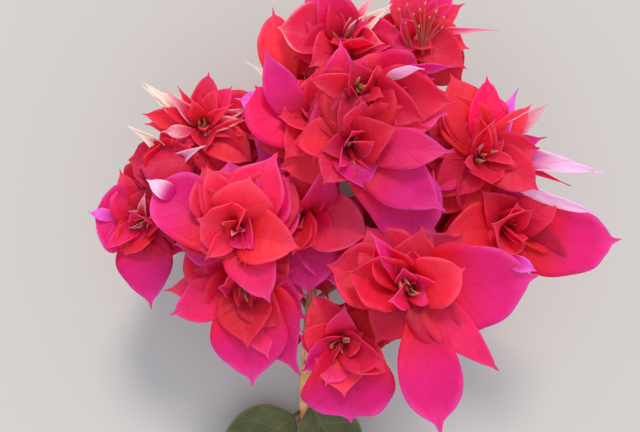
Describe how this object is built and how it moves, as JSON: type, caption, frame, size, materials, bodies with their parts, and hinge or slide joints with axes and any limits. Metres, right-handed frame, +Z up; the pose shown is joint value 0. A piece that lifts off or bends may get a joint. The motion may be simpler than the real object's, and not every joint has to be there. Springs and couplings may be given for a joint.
{
  "type": "cut bougainvillea flower spray",
  "caption": "Cut flowering branch tip lying on its back: a dense head of double blooms with papery pink and red bracts on thin stalks, a woody stem and leaves.",
  "frame": {"origin": "on the surface that the spray lies on, under the middle of its box", "axes": "+Z up, away from that surface, towards the side that is looked at; +Y from the cut end of the stem towards the tip of the spray; +X to the right of someone looking down with the cut end nearest"},
  "size_m": [0.1897, 0.2006, 0.1073],
  "materials": {
    "bract_magenta": "papery, thin and slightly glossy, with fine veins",
    "bract_coral": "papery and translucent, red at the foot",
    "stem_bark": "young bark with fine ridges and pores",
    "stalk_red": "thin, matt, reddish green stalk",
    "leaf_green": "soft sheen over sunken veins"
  },
  "bodies": {
    "root": {"stem": "stem_bark", "leaf_left": "leaf_green", "leaf_right": "leaf_green", "stalk_upper_left": "stalk_red", "stalk_left_cup": "stalk_red", "stalk_far_left": "stalk_red", "stalk_centre_left": "stalk_red", "stalk_lower_left": "stalk_red", "stalk_middle": "stalk_red", "stalk_upper_centre_left": "stalk_red", "stalk_top_left": "stalk_red", "stalk_top_right": "stalk_red", "stalk_centre_top": "stalk_red", "stalk_centre": "stalk_red", "stalk_right": "stalk_red", "stalk_far_right": "stalk_red", "stalk_lower_right": "stalk_red", "stalk_lower_centre": "stalk_red", "stalk_side_left": "stalk_red", "stalk_side_upper_left": "stalk_red", "stalk_side_top": "stalk_red", "stalk_side_upper_right": "stalk_red", "stalk_side_right": "stalk_red", "stalk_side_lower": "stalk_red", "stalk_back_left": "stalk_red", "stalk_back_upper": "stalk_red", "stalk_back_right": "stalk_red", "bloom_upper_left": "bract_coral", "bloom_left_cup": "bract_coral", "bloom_far_left": "bract_magenta", "bloom_centre_left": "bract_coral", "bloom_lower_left": "bract_magenta", "bloom_middle": "bract_coral", "bloom_upper_centre_left": "bract_magenta", "bloom_top_left": "bract_coral", "bloom_top_right": "bract_coral", "bloom_centre_top": "bract_coral", "bloom_centre": "bract_magenta", "bloom_right": "bract_coral", "bloom_far_right": "bract_magenta", "bloom_lower_right": "bract_magenta", "bloom_lower_centre": "bract_coral", "bloom_side_left": "bract_magenta", "bloom_side_upper_left": "bract_magenta", "bloom_side_top": "bract_magenta", "bloom_side_upper_right": "bract_magenta", "bloom_side_right": "bract_magenta", "bloom_side_lower": "bract_magenta", "bloom_back_left": "bract_magenta", "bloom_back_upper": "bract_magenta", "bloom_back_right": "bract_magenta"}
  },
  "joints": []
}
